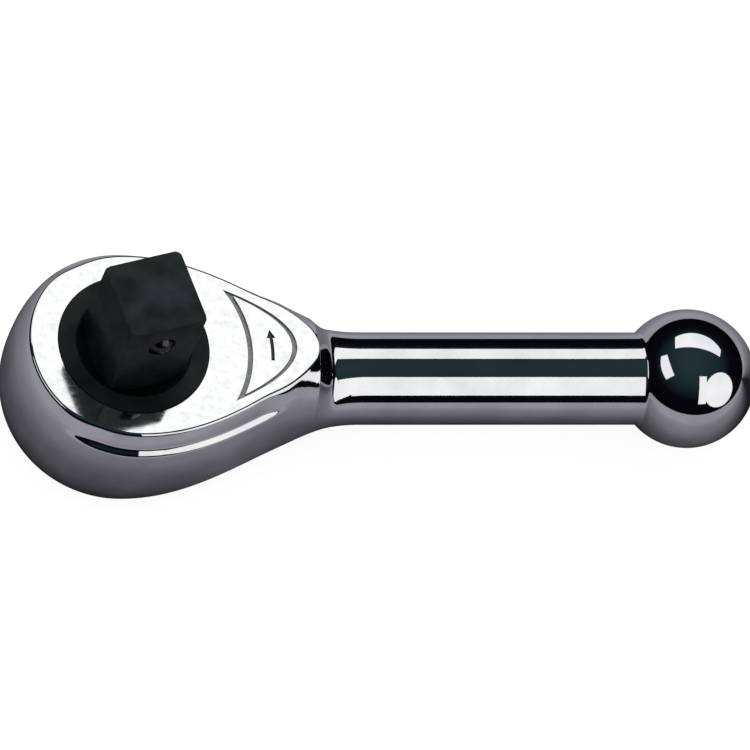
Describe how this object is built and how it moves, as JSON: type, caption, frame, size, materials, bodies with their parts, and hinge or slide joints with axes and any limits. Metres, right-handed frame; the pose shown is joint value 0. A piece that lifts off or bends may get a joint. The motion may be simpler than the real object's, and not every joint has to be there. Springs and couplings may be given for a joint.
{
  "type": "ratchet wrench",
  "caption": "Stubby ratchet wrench with a pear-shaped head, round handle and ball end, and a 3/8 inch square drive that pushes through the head to reverse.",
  "frame": {"origin": "on the drive axis at the back face of the head, which is the centre of the square drive's back end", "axes": "+X along the handle from the drive axis towards the ball, +Z along the drive axis out of the front face, +Y to the left of +X seen from +Z"},
  "size_m": [0.091, 0.0278, 0.0294],
  "materials": {
    "chrome_plate": "polished chrome plate over forged steel, face ground flat and polished",
    "black_oxide": "satin black oxide on machined steel",
    "bearing_steel": "polished hardened balls",
    "spring_steel": "oiled spring steel",
    "hardened_steel": "ground and hardened steel",
    "bronze": "plain bronze",
    "nitrile": "matte moulded rubber"
  },
  "bodies": {
    "head": {"body": "chrome_plate", "pawl_pin": "hardened_steel", "thrust_washer": "bronze", "wave_washer": "spring_steel", "cover_plate": "hardened_steel", "retaining_ring": "spring_steel"},
    "gear": {"drive_gear": "black_oxide", "front_o_ring": "nitrile", "back_o_ring": "nitrile"},
    "drive": {"square_drive": "black_oxide", "detent_spring_front": "spring_steel", "detent_spring_back": "spring_steel"},
    "ball_front": {"detent_ball_front": "bearing_steel"},
    "ball_back": {"detent_ball_back": "bearing_steel"},
    "pawl_arm": {"pawl": "hardened_steel", "pawl_spring": "spring_steel"}
  },
  "joints": [
    {"name": "gear_turn", "type": "hinge", "parent": "head", "child": "gear", "pos_m": [0, 0, 0.0083], "axis": [0, 0, 1], "continuous": true},
    {"name": "drive_push", "type": "slide", "parent": "gear", "child": "drive", "axis": [0, 0, -1], "range_m": [0, 0.0128]},
    {"name": "ball_front_press", "type": "slide", "parent": "drive", "child": "ball_front", "axis": [-0.2419, 0.9703, 0], "range_m": [0, 0.0012], "deforming": ["detent_spring_front"]},
    {"name": "ball_back_release", "type": "slide", "parent": "drive", "child": "ball_back", "axis": [0.2419, -0.9703, 0], "range_m": [0, 0.0012], "deforming": ["detent_spring_back"]},
    {"name": "pawl_swing", "type": "hinge", "parent": "head", "child": "pawl_arm", "pos_m": [0.014, -0.0044, 0.0083], "axis": [0, 0, 1], "range_deg": [-7, 0], "stiffness_Nm_per_rad": 0.02, "springref_deg": 2.86, "deforming": ["pawl_spring"]}
  ],
  "couplings": [
    {"joint": "ball_front_press", "follows": "drive_push", "ratio": 0.09375},
    {"joint": "ball_back_release", "follows": "drive_push", "ratio": 0.09375}
  ]
}
